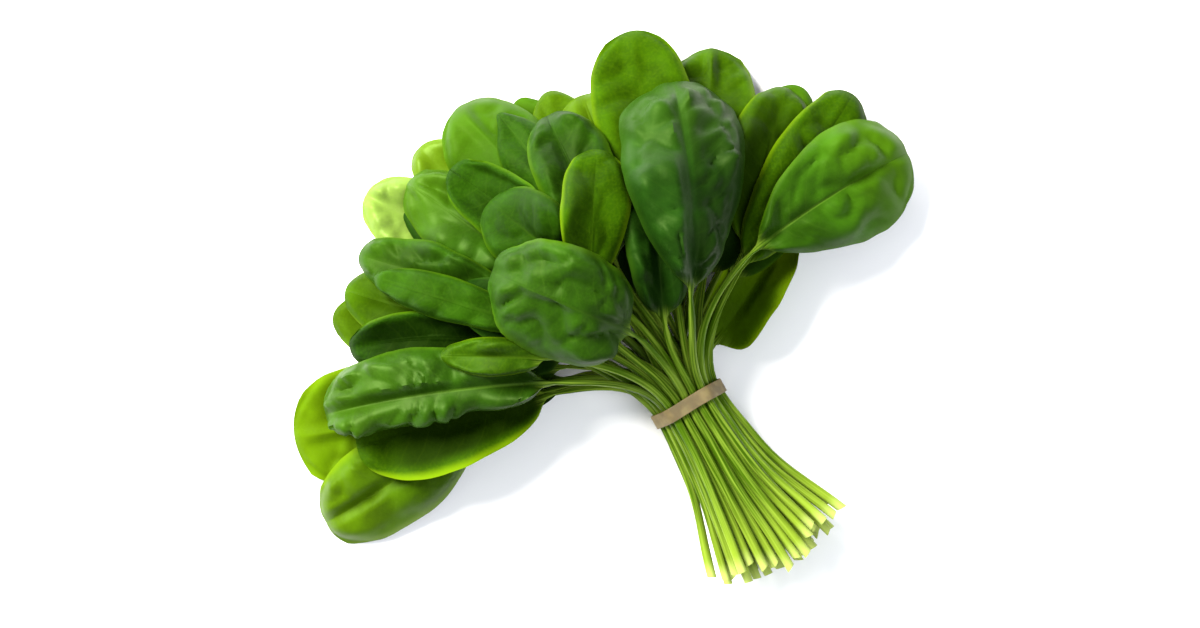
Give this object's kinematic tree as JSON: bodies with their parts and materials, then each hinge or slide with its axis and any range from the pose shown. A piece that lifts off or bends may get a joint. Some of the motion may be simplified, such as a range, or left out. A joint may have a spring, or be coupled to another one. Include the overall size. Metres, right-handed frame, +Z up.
{
  "type": "spinach bunch",
  "caption": "Bunch of flat-leaf spinach lying on its side: oval leaves fanned over each other, long petioles held by a flat rubber band, cut ends spread.",
  "frame": {"origin": "under the middle of the bunch's bounding box, on the surface that the bunch lies on", "axes": "+Y along the petioles, from the cut ends through the band to the crown of leaves; +X across the fan of leaves, its longest side; +Z up, away from the surface it lies on, its shortest side"},
  "size_m": [0.3022, 0.248, 0.0785],
  "materials": {
    "leaf_deep_green": "satin",
    "leaf_mid_green": "satin",
    "leaf_bright_green": "satin",
    "leaf_pale_green": "satin",
    "band_rubber": "matte"
  },
  "bodies": {
    "root": {"floor_left": "leaf_deep_green", "floor_back_left": "leaf_deep_green", "floor_back_right": "leaf_deep_green", "floor_right": "leaf_mid_green", "under_low_left": "leaf_bright_green", "low_right": "leaf_bright_green", "under_back_right": "leaf_mid_green", "under_top": "leaf_mid_green", "under_top_left": "leaf_mid_green", "pale": "leaf_pale_green", "under_left": "leaf_mid_green", "under_right": "leaf_mid_green", "sliver_top": "leaf_mid_green", "rim_top": "leaf_mid_green", "low_corner": "leaf_bright_green", "low_big": "leaf_bright_green", "small_left": "leaf_bright_green", "right_back": "leaf_bright_green", "left_back": "leaf_bright_green", "top_small": "leaf_bright_green", "top_back": "leaf_bright_green", "round_light": "leaf_mid_green", "side_left": "leaf_bright_green", "fill_right": "leaf_deep_green", "fill_left": "leaf_deep_green", "fill_top": "leaf_deep_green", "dark_point": "leaf_deep_green", "right_back_low": "leaf_bright_green", "point_top": "leaf_mid_green", "gray_left": "leaf_mid_green", "heart": "leaf_deep_green", "arc_left": "leaf_mid_green", "streak_left": "leaf_mid_green", "top_bright": "leaf_bright_green", "round_mid": "leaf_mid_green", "cup_mid": "leaf_mid_green", "right_mid": "leaf_bright_green", "heart_right": "leaf_deep_green", "fill_front": "leaf_deep_green", "quilt_left": "leaf_mid_green", "low_mid": "leaf_mid_green", "long_left": "leaf_mid_green", "fold_right": "leaf_mid_green", "dark_mid": "leaf_deep_green", "bright_mid": "leaf_bright_green", "small_front": "leaf_bright_green", "round_front": "leaf_mid_green", "big_front": "leaf_deep_green", "rubber_band": "band_rubber"}
  },
  "joints": []
}
